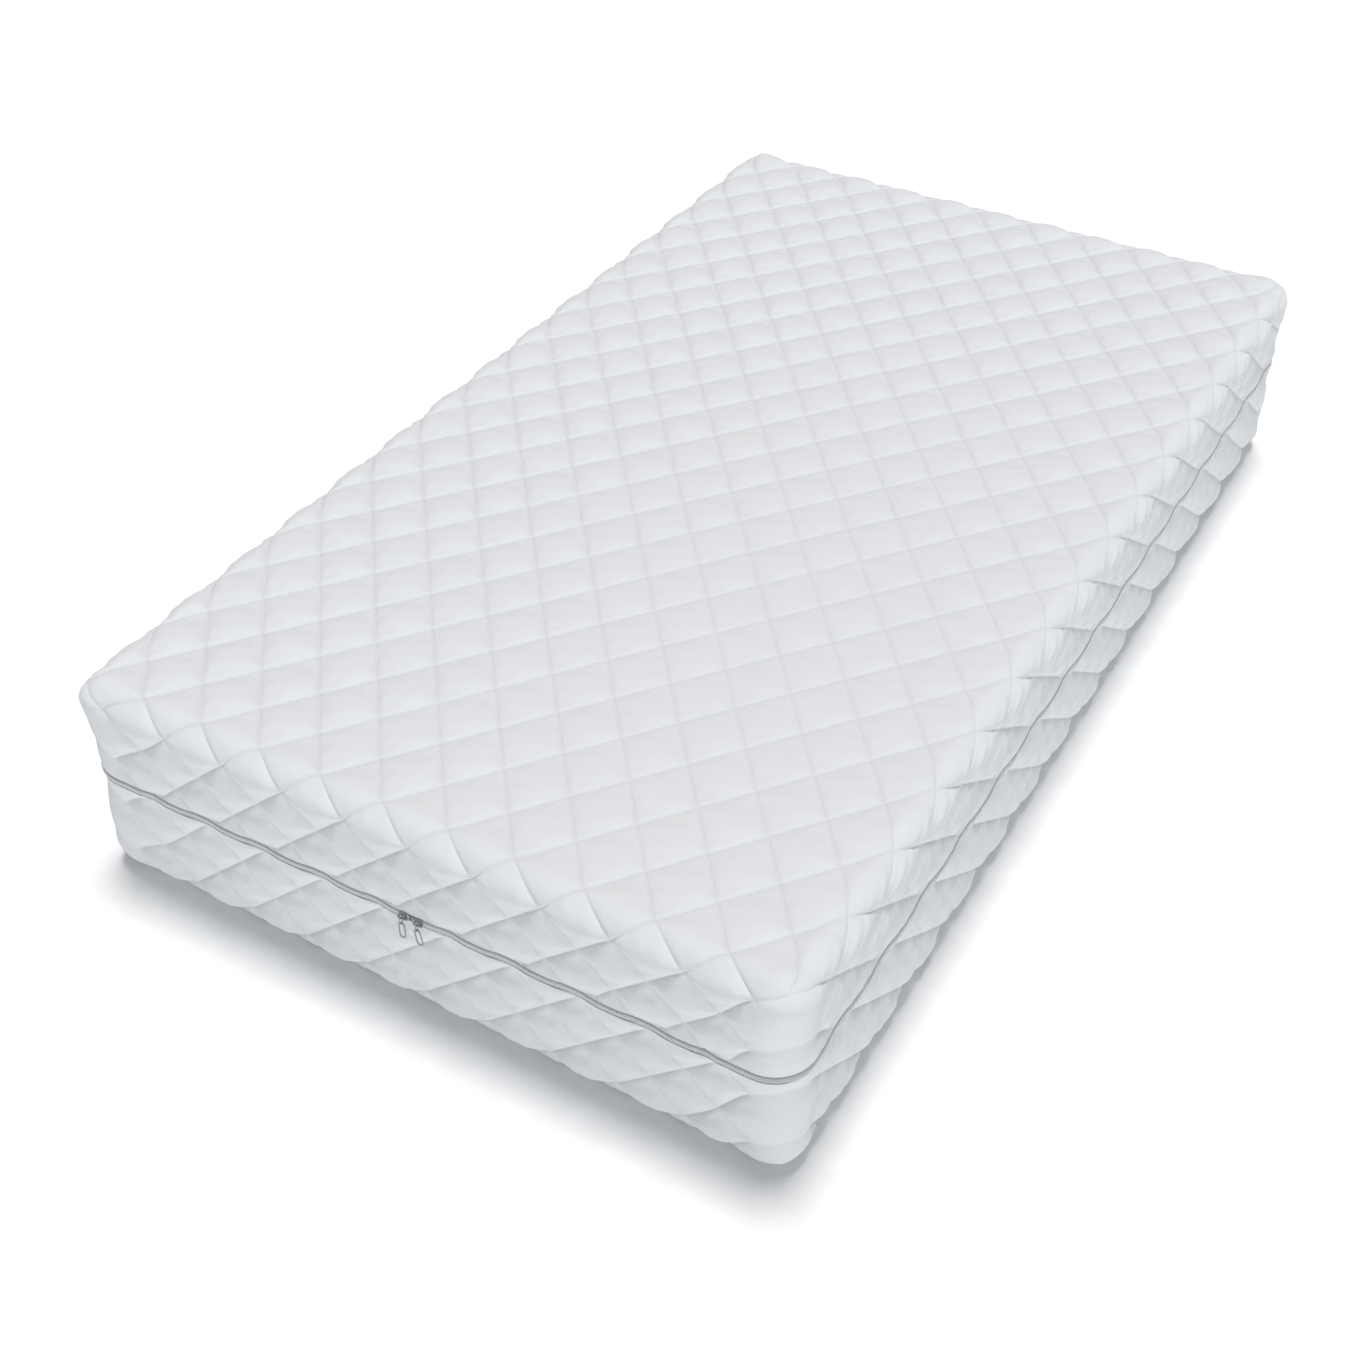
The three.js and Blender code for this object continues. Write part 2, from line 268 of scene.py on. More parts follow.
def puff(i, j, creased):
    """The puff's moves at lattice points, given as whole mesh steps from the middle. Which
    creases a diamond gets, and how high it is, changes from diamond to diamond.
    creased is the share of the simulated creases that shows."""
    a = (i + j) // 2
    b = (i - j) // 2
    cell_a = a // STEPS
    cell_b = b // STEPS
    row = (3 * cell_a + cell_b + cell_a * cell_b) % KINDS
    column = (cell_a + 2 * cell_b + (cell_a - cell_b) ** 2 // 3) % KINDS
    moves = PLAIN_PUFF[a % STEPS, b % STEPS] + creased * CREASES[row, column, a % STEPS, b % STEPS]
    moves[..., 2] *= 1 + PUFF_UNEVEN * np.sin(12.9898 * cell_a + 78.233 * cell_b)
    return moves


def seam_depth(i, j):
    """The seams are drawn in most at the top's far side, a little less on the walls and
    where the cover turns over the top's edges, and least at the calm place near the top's
    right front. past counts the cells past the top's edge."""
    past = np.maximum(np.abs(i) - EDGE_I, np.abs(j) - EDGE_J) / PER_CELL
    wall = smoothstep(past / 0.5)
    x = i * CELL_X / PER_CELL
    y = j * CELL_Y / PER_CELL
    calm = np.exp(-((x - 0.2) / 0.4) ** 2 - ((y + 0.3) / 0.7) ** 2)
    top = 1.3 - 0.85 * calm
    edge = 0.25 * np.exp(-((past - 0.3) / 0.25) ** 2)
    return np.minimum(SEAM_DEPTH * (top * (1 - wall) + 1.15 * wall - edge), DEEPEST)


# ---------------------------------------------------------------- the rounded box


def core_place(x, y):
    """Points of the core's plan with its corners rounded, and the outward normals."""
    u = np.clip((np.abs(x) - CORE_WIDTH + CORE_CORNER) / CORE_CORNER, 0, 1)
    v = np.clip((np.abs(y) - CORE_LENGTH + CORE_CORNER) / CORE_CORNER, 0, 1)
    out_x = u * np.sqrt(1 - v * v / 2)
    out_y = v * np.sqrt(1 - u * u / 2)
    plan_x = np.where(u > 0, CORE_WIDTH - CORE_CORNER + CORE_CORNER * out_x, np.abs(x))
    plan_y = np.where(v > 0, CORE_LENGTH - CORE_CORNER + CORE_CORNER * out_y, np.abs(y))
    side_x = np.where(x < 0, -1.0, 1.0)
    side_y = np.where(y < 0, -1.0, 1.0)
    plan = np.stack([plan_x * side_x, plan_y * side_y], -1)
    normal = np.stack([out_x * side_x, out_y * side_y], -1)
    return plan, normal


# Where the upright corners start to swell, over what height, and by how many times SHARPEN.
SWELLS = [(165 * MM, 85 * MM, 1), (225 * MM, 30 * MM, 1.2), (135 * MM, -80 * MM, 1.9)]


def swell_corners(points, x, y, z):
    """Pushes the four upright corners out above and below the zip, where they are sharper."""
    u = np.clip((np.abs(x) - CORE_WIDTH + SHARP_REACH) / SHARP_REACH, 0, 1)
    v = np.clip((np.abs(y) - CORE_LENGTH + SHARP_REACH) / SHARP_REACH, 0, 1)
    rise = sum(times * smoothstep((z - start) / run) for start, run, times in SWELLS)
    amount = SHARPEN * (u * v) ** 1.5 * rise
    points[..., 0] += amount * np.sign(x) / math.sqrt(2)
    points[..., 1] += amount * np.sign(y) / math.sqrt(2)
    points[..., 2] += 0.3 * amount * (z > CORE_TOP)
    return points


def ring(step):
    """The columns round the walls, from the foot end's left corner, anticlockwise:
    their lattice places i and j on the top's edge, and the face each one is on."""
    i_edge = EDGE_I + (step > 1)
    j_edge = EDGE_J + (step > 1)
    across = np.arange(-i_edge, i_edge, step)
    along = np.arange(-j_edge, j_edge, step)
    i = np.concatenate([across, np.full(len(along), i_edge), -across, np.full(len(along), -i_edge)])
    j = np.concatenate([np.full(len(across), -j_edge), along, np.full(len(across), j_edge), -along])
    face = np.repeat([0, 1, 2, 3], [len(across), len(along), len(across), len(along)])
    return i, j, face


def nominal(i, j):
    """The plan place of lattice points, held inside the core."""
    x = np.clip(i * CELL_X / PER_CELL, -CORE_WIDTH, CORE_WIDTH)
    y = np.clip(j * CELL_Y / PER_CELL, -CORE_LENGTH, CORE_LENGTH)
    return x, y


def foot_share(i, face):
    """How much of the foot end's own shift of the pattern a column takes: all of it, except
    near the end's corners."""
    x = np.abs(i) * CELL_X / PER_CELL
    return (face == 0) * (1 - smoothstep((x - CORE_WIDTH + 75 * MM) / (60 * MM)))


def upper_rows(k, foot):
    """Core height and direction (0 level, pi/2 straight up) of the upper half's rows."""
    phase = (FIRST_ROW + k) / PER_CELL
    phase = phase + FOOT_DROP * foot * smoothstep(phase / PATTERN_RAMP)
    s = np.minimum(phase * UPPER_PITCH, UPPER_END - (UPPER_LAST - k) * ROW_SQUEEZE)
    angle = np.clip(math.pi / 2 - s / EDGE_RADIUS, 0, math.pi / 2)
    return CORE_TOP - np.maximum(0, s - FILLET), angle


def lower_rows(k, foot):
    """The same for the lower half's rows, which run on under the bottom edge."""
    phase = (FIRST_ROW + k) / PER_CELL + LOWER_FOOT_DROP * foot
    z = LOWER_Z - LOWER_PITCH * (phase - LOWER_PHASE)
    z = np.minimum(z, LOWER_START - (k - LOWER_FIRST) * ROW_SQUEEZE)
    past = np.maximum(0, EDGE_RADIUS - z)
    angle = -np.clip(past / EDGE_RADIUS, 0, math.pi / 2)
    return np.maximum(z, EDGE_RADIUS), angle


def wall_points(i, j, face, core_z, angle, depth, moves):
    """Places wall points: moves holds each point's shift along p and q."""
    x, y = nominal(i, j)
    plan, normal = core_place(x, y)
    level = np.stack([-normal[..., 1], normal[..., 0], np.zeros_like(x)], -1)
    out = np.concatenate([normal * np.cos(angle)[..., None], np.sin(angle)[..., None]], -1)
    down = np.concatenate([normal * np.sin(angle)[..., None], -np.cos(angle)[..., None]], -1)
    core = np.concatenate([plan, core_z[..., None]], -1)
    sign = np.where(face < 2, 1.0, -1.0)[..., None]
    across_faces = (face % 2 == 0)[..., None]
    p_way = np.where(across_faces, sign * level, sign * down)
    q_way = np.where(across_faces, -sign * down, sign * level)
    points = (core + (EDGE_RADIUS - depth)[..., None] * out
              + moves[..., :1] * p_way + moves[..., 1:2] * q_way)
    return swell_corners(points, x, y, points[..., 2])


def wall_lattice(i, j, face, k):
    """A wall point's lattice place: the pattern runs on from the top, down each face."""
    ways = np.array([[0, -1], [1, 0], [0, 1], [-1, 0]])
    return i + ways[face, 0] * k, j + ways[face, 1] * k


def quilt_on_walls(i, j, face, k):
    """Moves of wall points, fading into level ridges round the four corners, and how
    strongly the seams show. Fine flutes run across the diamonds of the long sides."""
    li, lj = wall_lattice(i, j, face, k)
    moves = puff(li, lj, WALL_CREASES)
    x, y = nominal(i, j)
    from_corner = np.where(face % 2 == 0, CORE_WIDTH - np.abs(x), CORE_LENGTH - np.abs(y))
    kept = smoothstep(from_corner / (28 * MM))
    cells_down = (FIRST_ROW + k) / PER_CELL
    lowered = smoothstep((cells_down - 0.1) / PATTERN_RAMP)
    share = 1 - (1 - kept) * lowered
    folded = (np.abs(li) + np.abs(lj)) / PER_CELL
    ridge = 0.5 + 0.42 * np.abs(np.sin(np.pi * folded)) ** 0.6
    along_b = (li + lj) / PER_CELL
    across_b = (li - lj) / PER_CELL
    flutes = np.cos(2 * np.pi * FLUTES * along_b) * np.sqrt(np.abs(np.sin(np.pi * across_b)))
    moves[..., 2] += np.where(face % 2 == 1, SIDE_FLUTES, END_FLUTES) * flutes * lowered
    moves[..., :2] *= share[..., None]
    moves[..., 0] += FOOT_SLIDE * foot_share(i, face) * smoothstep(cells_down / PATTERN_RAMP)
    moves[..., 2] = moves[..., 2] * share + ridge * (1 - share)
    return moves, share


# ---------------------------------------------------------------- cover pieces


def numbered(used):
    """Vertex numbers of the used places of a grid, and -1 at the others."""
    return np.where(used, np.cumsum(used.ravel()).reshape(used.shape) - 1, -1)


def wall_faces(ids):
    """Diamond-shaped quads of a wall, from a grid of vertex numbers with -1 at its gaps."""
    rows, columns = ids.shape
    faces = []
    for row in range(1, rows - 1):
        gaps = np.flatnonzero(ids[row] < 0)
        before = (gaps - 1) % columns
        after = (gaps + 1) % columns
        sides = [ids[row - 1, gaps], ids[row, before], ids[row + 1, gaps], ids[row, after]]
        faces.append(np.stack(sides, 1))
    return np.concatenate(faces)


def top_grid(wall_ids, step, start):
    """The lattice inside the walls' first row: its places, which of them are vertices,
    numbered from start, and the faces that join them and that row."""
    i_edge = EDGE_I + (step > 1)
    j_edge = EDGE_J + (step > 1)
    across = np.arange(-i_edge, i_edge + 1, step)
    along = np.arange(-j_edge, j_edge + 1, step)
    i, j = np.meshgrid(across, along, indexing="ij")
    inside = (np.abs(i) < i_edge) & (np.abs(j) < j_edge)
    even = (i + j) // step % 2 == 0
    used = inside & even
    ids = np.where(used, start + numbered(used), -1)
    ring_i, ring_j, face = ring(step)
    row = (ring_i + i_edge) // step
    column = (ring_j + j_edge) // step
    ids[row, column] = wall_ids[0]
    at, to = np.nonzero(inside & ~even)
    inner = np.stack([ids[at, to - 1], ids[at + 1, to], ids[at, to + 1], ids[at - 1, to]], 1)
    gaps = np.flatnonzero(wall_ids[0] < 0)
    inward = np.array([[0, 1], [-1, 0], [0, -1], [1, 0]])[face[gaps]]
    behind = ids[row[gaps] + inward[:, 0], column[gaps] + inward[:, 1]]
    after = (gaps + 1) % len(row)
    edge = np.stack([behind, wall_ids[0, gaps - 1], wall_ids[1, gaps], wall_ids[0, after]], 1)
    return i, j, used, np.concatenate([inner, edge])


def top_points(i, j, depth, moves):
    x, y = nominal(i, j)
    plan, _ = core_place(x, y)
    moved = plan + moves[..., :2]
    points = np.concatenate([moved, (HEIGHT - depth)[..., None]], -1)
    return swell_corners(points, x, y, points[..., 2])


# ---------------------------------------------------------------- zip line


def smooth_round(values, reach):
    """Running mean round a closed line, three times over."""
    kernel = np.ones(2 * reach + 1) / (2 * reach + 1)
    for _ in range(3):
        padded = np.concatenate([values[-reach:], values, values[:reach]])
        values = np.convolve(padded, kernel, "valid")
    return values


def by_sliders(i, face):
    """1 where the zip's sliders rest and where their travel ends, and 0 away from there."""
    x = i * CELL_X / PER_CELL
    places = (-TRAVEL_END, ZIP_END_X, TRAVEL_END)
    from_sliders = np.min([np.abs(x - place) for place in places], axis=0)
    return (face == 0) * (1 - smoothstep((from_sliders - 20 * MM) / (25 * MM)))


def tape_offsets():
    """How far the zip tape lies inside its plain place at each column round the walls.
    It is drawn in where the b seams of the two halves meet it, but not at the sliders."""
    i, j, face = ring(1)
    drawn = np.zeros(len(i))
    for k in (UPPER_LAST, LOWER_FIRST + 3):
        li, lj = wall_lattice(i, j, face, k)
        at_seam = 1 - np.abs(np.sin(np.pi * (li - lj) / PER_CELL)) ** 0.7
        drawn += 0.5 * seam_depth(li, lj) * at_seam
    _, share = quilt_on_walls(i, j, face, np.full(len(i), UPPER_LAST))
    drawn *= share * (1 - by_sliders(i, face))
    return np.maximum(smooth_round(drawn, 2) - TAPE_SLACK, 0)


TAPE_IN = tape_offsets()


# Rows of the hem, from the outside to behind the knit: how far each lies towards the zip
# from the last quilted row, its share of the way in from the knit to the tape, and how
# far it then goes on behind.
HEM = [(0.9 * MM, 0.06, 0), (1.5 * MM, 0.38, 0), (1.3 * MM, 0.8, 0), (-0.2 * MM, 0.97, 0.2 * MM),
       (-1.2 * MM, 0.97, 1.1 * MM)]


def quilted_wall(i, j, face, k, height, place_rows, rim_depth):
    """Core height, direction, depth, moves and seam strength of the knit at wall points.
    k is the row in the pattern, and height the row that gives the place. Next to the zip
    the knit comes level with it, at the depth rim_depth."""
    moves, share = quilt_on_walls(i, j, face, k)
    core_z, angle = place_rows(height, foot_share(i, face))
    z = core_z + EDGE_RADIUS * np.sin(angle)
    from_rim = np.abs(z - ZIP_Z) - RIM
    near_rim = (1 - RIM_LOOSE) * (1 - smoothstep(from_rim / RIM_BLEND))
    above = 1 - smoothstep((-angle - UNDERSIDE_START) / UNDERSIDE_RUN)
    depth = seam_depth(*wall_lattice(i, j, face, k)) * (1 - moves[..., 2]) * above
    depth = depth * (1 - near_rim) + rim_depth * near_rim
    depth = np.minimum(depth, rim_depth - RIM_LIFT + RIM_SLOPE * np.maximum(from_rim, 0))
    moves[..., :2] *= above[..., None]
    return core_z, angle, depth, moves, share * above


def cover_wall(rows, place_rows, rim_row, direction):
    """One half's wall at full fineness, as a grid of rows by columns: which places are
    vertices, their points, their seam strength, and their row, column and face. Rows beyond
    rim_row, towards the zip, form the hem. direction is 1 where rows run down to the zip,
    and -1 where they run down from it."""
    i, j, face = ring(1)
    columns = len(i)
    k = np.repeat(rows, columns).reshape(len(rows), columns)
    i, j, face = (np.broadcast_to(values, k.shape) for values in (i, j, face))
    held = np.where(direction * (k - rim_row) > 0, rim_row, k)
    past = np.clip(direction * (k - rim_row), 0, len(HEM))
    parity = (i + j + k) % 2 == 0
    held = np.where((i + j + held) % 2 == 0, held, held - direction)
    core_z, angle, depth, moves, share = quilted_wall(
        i, j, face, held, held.astype(float), place_rows, TAPE_IN[None, :] + RIM_BEHIND)
    hem_z, hem_in, hem_behind = np.array([(0, 0, 0)] + HEM).T[:, past]
    rim_core, _ = place_rows(np.full(k.shape, float(rim_row)), foot_share(i, face))
    core_z = np.where(past > 0, rim_core - direction * hem_z, core_z)
    tape_front = TAPE_DEPTH + TAPE_IN[None, :] - 0.1 * MM
    depth = depth * (1 - hem_in) + tape_front * hem_in + hem_behind
    moves[..., :2] *= (past == 0)[..., None]
    points = wall_points(i, j, face, core_z, angle, depth, moves)
    return parity, points, share, k, i, j, face


def upper_cover():
    """The upper half: its wall and hem, and the top."""
    rows = np.arange(0, UPPER_LAST + len(HEM) + 1)
    parity, points, seams, k, i, j, face = cover_wall(rows, upper_rows, UPPER_LAST, 1)
    ids = numbered(parity)
    ti, tj, used, top_faces = top_grid(ids, 1, int(parity.sum()))
    moves = puff(ti, tj, TOP_CREASES)
    top = top_points(ti, tj, seam_depth(ti, tj) * (1 - moves[..., 2]), moves)
    faces = np.concatenate([wall_faces(ids), top_faces])
    all_points = np.concatenate([points[parity], top[used]])
    piece = mesh_object("quilted_cover_upper", all_points, faces.tolist())

    wall_i, wall_j = wall_lattice(i, j, face, np.minimum(k, UPPER_LAST))
    wall_places = np.stack([wall_i[parity], wall_j[parity]], -1)
    lattice = np.concatenate([wall_places, np.stack([ti[used], tj[used]], -1)])
    strength = np.concatenate([seams[parity], np.ones(used.sum())])
    give_quilt(piece, faces.ravel(), lattice, strength)
    return piece


def sharpen_seams(piece, lattice, seams):
    """Marks the mesh edges that lie along seams as sharp, so that puffs meet in a crisp line."""
    edges = np.zeros(len(piece.data.edges) * 2, np.int32)
    piece.data.edges.foreach_get("vertices", edges)
    edges = edges.reshape(-1, 2)
    a = (lattice[:, 0] + lattice[:, 1])[edges] // 2
    b = (lattice[:, 0] - lattice[:, 1])[edges] // 2
    on_a = (a[:, 0] == a[:, 1]) & (a[:, 0] % STEPS == 0)
    on_b = (b[:, 0] == b[:, 1]) & (b[:, 0] % STEPS == 0)
    layer = piece.data.attributes.new("sharp_edge", "BOOLEAN", "EDGE")
    layer.data.foreach_set("value", (on_a | on_b) & (seams[edges].min(1) > SHARP_SEAM))


def give_quilt(piece, corners, lattice, seams):
    """Writes the quilting's phases, and how far its seams show, for the material.
    corners holds the vertex number of each corner of each face."""
    at = lattice[corners]
    a = (at[:, 0] + at[:, 1]) / PER_CELL
    b = (at[:, 0] - at[:, 1]) / PER_CELL
    sharpen_seams(piece, lattice, seams)
    put_corner_vectors(piece, "quilt", np.stack([a, b, seams[corners]], -1))


# The underside's panel, from its seam inwards: how far each loop lies in, and its height.
PANEL_LOOPS = [(3 * MM, 1.2 * MM), (5 * MM, 1.1 * MM), (8 * MM, 0.3 * MM), (14 * MM, 0.2 * MM)]


def lower_cover():
    """The lower half, closed underneath by a plain panel set in with a seam."""
    rows = np.arange(LOWER_FIRST - len(HEM), LOWER_LAST + 1)
    parity, points, seams, k, i, j, face = cover_wall(rows, lower_rows, LOWER_FIRST, -1)
    ids = numbered(parity)
    wall = points[parity]
    wall_i, wall_j = wall_lattice(i, j, face, np.maximum(k, LOWER_FIRST))
    lattice = np.stack([wall_i[parity], wall_j[parity]], -1)
    strength = seams[parity]

    rim = np.where(ids[-1] >= 0, ids[-1], ids[-2])
    x, y = nominal(i[0], j[0])
    plan, normal = core_place(x, y)
    loops = [rim]
    for inset, z in PANEL_LOOPS:
        loop = np.concatenate([plan - inset * normal, np.full((len(plan), 1), z)], 1)
        loops.append(len(wall) + np.arange(len(loop)))
        wall = np.concatenate([wall, loop])
        lattice = np.concatenate([lattice, lattice[rim]])
        strength = np.concatenate([strength, np.zeros(len(loop))])
    bands = [np.stack([outer, inner, np.roll(inner, -1), np.roll(outer, -1)], 1)
             for outer, inner in zip(loops, loops[1:])]
    quads = np.concatenate([wall_faces(ids)] + bands)
    panel = loops[-1][::-1]
    piece = mesh_object("quilted_cover_lower", wall, quads.tolist() + [panel.tolist()])
    corners = np.concatenate([quads.ravel(), panel])
    give_quilt(piece, corners, lattice, strength)
    return piece


# ---------------------------------------------------------------- layers inside the cover


def thicken(name, outer, inner, faces):
    """A closed solid between two surfaces that have the same faces."""
    count = len(outer)
    ways = set()
    for face in faces:
        ways.update(zip(face, face[1:] + face[:1]))
    rim = [(b, a, a + count, b + count) for a, b in ways if (b, a) not in ways]
    back = [[corner + count for corner in face[::-1]] for face in faces]
    return mesh_object(name, np.concatenate([outer, inner]), faces + sorted(rim) + back)


def quilted_layer(name, half, outer_depth, inner_depth):
    """A layer under one half of the knit, which ends above or below the zip, squeezed flat.
    The two functions give its front's and its back's depth from the knit's depth and rise."""
    upper = half == "upper"
    rows = UPPER_LAYER_ROWS if upper else LOWER_LAYER_ROWS
    i, j, face = ring(COARSE)
    shape = (len(rows), len(i))
    m = np.repeat(rows, len(i)).reshape(shape)
    i, j, face = (np.broadcast_to(values, shape) for values in (i, j, face))
    even = (i + j) // COARSE % 2 == m % 2
    place_rows = upper_rows if upper else lower_rows
    core_z, angle, depth, moves, _ = quilted_wall(
        i, j, face, COARSE * m, COARSE * m + 1.0, place_rows, WADDING_GAP)
    limit = ZIP_Z + PADDING_RIM if upper else ZIP_Z - PADDING_RIM
    core_z = np.maximum(core_z, limit) if upper else np.minimum(core_z, limit)
    from_edge = np.abs(core_z - ZIP_Z) - PADDING_RIM
    depth = depth + WADDING_BACK * (1 - smoothstep(from_edge / WADDING_SQUEEZE))
    ids = numbered(even)
    faces = wall_faces(ids)
    surfaces = [wall_points(i, j, face, core_z, angle, layer(depth, moves[..., 2]), moves)[even]
                for layer in (outer_depth, inner_depth)]
    if upper:
        ti, tj, used, top_faces = top_grid(ids, COARSE, int(even.sum()))
        moves = puff(ti, tj, TOP_CREASES)
        depth = seam_depth(ti, tj) * (1 - moves[..., 2])
        tops = [top_points(ti, tj, layer(depth, moves[..., 2]), moves)[used]
                for layer in (outer_depth, inner_depth)]
        surfaces = [np.concatenate(pair) for pair in zip(surfaces, tops)]
        return thicken(name, *surfaces, np.concatenate([faces, top_faces]).tolist())
    rim = np.where(ids[-1] >= 0, ids[-1], ids[-2])
    return thicken(name, *surfaces, faces.tolist() + [rim[::-1].tolist()])


def wadding(half):
    """It follows the puffs in front and lies flat behind."""
    def front(depth, rise):
        return np.minimum(depth + WADDING_GAP, WADDING_BACK - WADDING_EDGE)

    def back(depth, rise):
        return np.full(depth.shape, WADDING_BACK)

    return quilted_layer(f"wadding_{half}", half, front, back)


def lining(half):
    """The stitches pull slight dimples into the backing."""
    def front(depth, rise):
        return LINING_FRONT + LINING_DIMPLE * (1 - np.clip(rise, 0, 1))

    def back(depth, rise):
        return front(depth, rise) + LINING_THICKNESS

    return quilted_layer(f"lining_{half}", half, front, back)


def sleeve_surface(depth):
    """A closed bag at one depth, with slack folds down its walls."""
    i, j, _ = ring(COARSE)
    x, y = nominal(i, j)
    plan, normal = core_place(x, y)
    quarter = np.linspace(0, 90, 7)
    rows = [(angle, CORE_TOP) for angle in quarter[::-1]]
    rows += [(0, z) for z in np.linspace(CORE_TOP, EDGE_RADIUS, 26)[1:]]
    rows += [(-angle, EDGE_RADIUS) for angle in quarter[1:]]
    run = np.arange(len(i)) * 2 * np.pi / len(i)
    grid = []
    for angle, z in rows:
        level = math.cos(math.radians(angle))
        fold = 0.5 + 0.25 * np.sin(46 * run + 9 * z) + 0.25 * np.sin(117 * run - 23 * z)
        reach = EDGE_RADIUS - depth - SLEEVE_FOLD * fold * level
        side = plan + normal * (reach * level)[:, None]
        grid.append(np.concatenate([side, (z + reach * math.sin(math.radians(angle)))[:, None]], 1))
    return np.stack(grid)


def sleeve():
    """The stockinette bag round the foam."""
    outer = sleeve_surface(SLEEVE_FRONT)
    inner = sleeve_surface(SLEEVE_FRONT + SLEEVE_THICKNESS)
    rows, columns = outer.shape[:2]
    at = np.arange(rows * columns).reshape(rows, columns)
    after = np.roll(at, -1, 1)
    quads = np.stack([at[:-1], at[1:], after[1:], after[:-1]], -1).reshape(-1, 4)
    faces = quads.tolist() + [at[0].tolist(), at[-1, ::-1].tolist()]
    return thicken("stockinette_sleeve", outer.reshape(-1, 3), inner.reshape(-1, 3), faces)


def sleeve_seam():
    """The overlocked thread that closes the sleeve at the foot end."""
    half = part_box("sleeve_end_seam")[1].x - 0.3 * MM
    count = int(2 * half / STITCH)
    x = np.linspace(-half, half, count)
    y = np.full(count, -HALF_LENGTH + SLEEVE_FRONT + 0.4 * MM)
    z = ZIP_Z + STITCH_HEIGHT * np.where(np.arange(count) % 2 == 0, 1, -1)
    around = np.arange(6) * np.pi / 3
    section = THREAD_RADIUS * np.stack([np.zeros(6), np.cos(around), np.sin(around)], -1)
    return sweep("sleeve_overlock_thread", np.stack([x, y, z], 1)[:, None] + section)


def care_label():
    """A satin strip hanging from the lining's edge, curled a little at its free end."""
    low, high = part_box("care_label")
    columns = 11
    rows = 31
    across = np.linspace(low.x, high.x, columns)
    x, z = np.meshgrid(across, np.linspace(high.z, low.z, rows), indexing="ij")
    down = (high.z - z) / (high.z - low.z)
    curl = 0.12 * MM * np.sin(2.6 * down) * (1 + 0.5 * np.sin(70 * (x - low.x)))
    middle = (low.y + high.y) / 2
    front = np.stack([x, middle - LABEL_HALF - curl, z], -1).reshape(-1, 3)
    back = np.stack([x, middle + LABEL_HALF - curl, z], -1).reshape(-1, 3)
    at = np.arange(columns * rows).reshape(columns, rows)
    quads = np.stack([at[:-1, :-1], at[:-1, 1:], at[1:, 1:], at[1:, :-1]], -1).reshape(-1, 4)
    return thicken("satin_care_label", front, back, quads.tolist())


def foam_block(name, node_name):
    """The block's own shape with its cut edges slightly softened."""
    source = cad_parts[node_name]
    piece = bpy.data.objects.new(name, source.data.copy())
    bpy.context.scene.collection.objects.link(piece)
    piece.matrix_world = source.matrix_world
    weld = piece.modifiers.new("weld", "WELD")
    weld.merge_threshold = 0.01 * MM
    bevel = piece.modifiers.new("bevel", "BEVEL")
    bevel.width = 1.2 * MM
    bevel.segments = 2
    bevel.limit_method = "ANGLE"
    bevel.angle_limit = math.radians(50)
    bpy.context.view_layer.update()
    shaped = bpy.data.meshes.new_from_object(evaluated(piece))
    piece.modifiers.clear()
    piece.data = shaped
    shaped.materials.clear()
    return piece


# ---------------------------------------------------------------- zip pieces


def sweep(name, sections):
    """A closed solid through rows of profile points: sections is rows by points by 3."""
    rows, count = sections.shape[:2]
    at = np.arange(rows * count).reshape(rows, count)
    after = np.roll(at, -1, 1)
    sides = np.stack([at[:-1], after[:-1], after[1:], at[1:]], -1).reshape(-1, 4)
    caps = [at[0, ::-1].tolist(), at[-1].tolist()]
    return mesh_object(name, sections.reshape(-1, 3), sides.tolist() + caps)


def zip_line(end_gap, spacing):
    """Places round the walls at the zip's height, from one end of the zip to the other,
    with the outward direction and the tape's inward offset at each."""
    i, j, _ = ring(1)
    x, y = nominal(i, j)
    plan, normal = core_place(x, y)
    outside = plan + EDGE_RADIUS * normal
    data = np.concatenate([outside, normal, TAPE_IN[:, None]], 1)
    data = np.concatenate([data, data[:1]])
    run = np.concatenate([[0], np.cumsum(np.hypot(*np.diff(data[:, :2], axis=0).T))])
    start = np.interp(ZIP_END_X, data[:EDGE_I * 2, 0], run[:EDGE_I * 2])
    length = run[-1] - 2 * end_gap
    count = int(length / spacing) + 1
    wanted = (start + end_gap + np.linspace(0, length, count)) % run[-1]
    found = np.stack([np.interp(wanted, run, column) for column in data.T], 1)
    out = found[:, 2:4] / np.linalg.norm(found[:, 2:4], axis=1, keepdims=True)
    return found[:, :2], out, found[:, 4]


def at_zip(places, out, depth, height):
    """Points at a depth inside the outside, and a height above the zip's middle line."""
    plan = places - out * depth[:, None]
    return np.concatenate([plan, np.full((len(plan), 1), ZIP_Z) + height[:, None]], 1)


def zip_tape(name, side):
    """One half of the woven tape, tucked in behind the knit along its far edge."""
    places, out, inward = zip_line(0.6 * MM, 3 * MM)
    heights = (TAPE_NEAR, 1 * MM, TUCK_START, 5.2 * MM, 7 * MM, 10 * MM, TAPE_FAR)
    profile = [(height, 0) for height in heights] + [(height, 1) for height in heights[::-1]]
    flat = np.ones(len(places))
    rows = []
    for height, back in profile:
        tucked = smoothstep((height - TUCK_START) / TUCK_RUN)
        near = inward + TAPE_DEPTH
        level = near * (1 - tucked) + np.maximum(near, TAPE_TUCK) * tucked
        rows.append(at_zip(places, out, level + TAPE_THICKNESS * back, side * height * flat))
    sections = np.stack(rows, 1)
    if side > 0:
        sections = sections[:, ::-1]
    return sweep(name, sections)


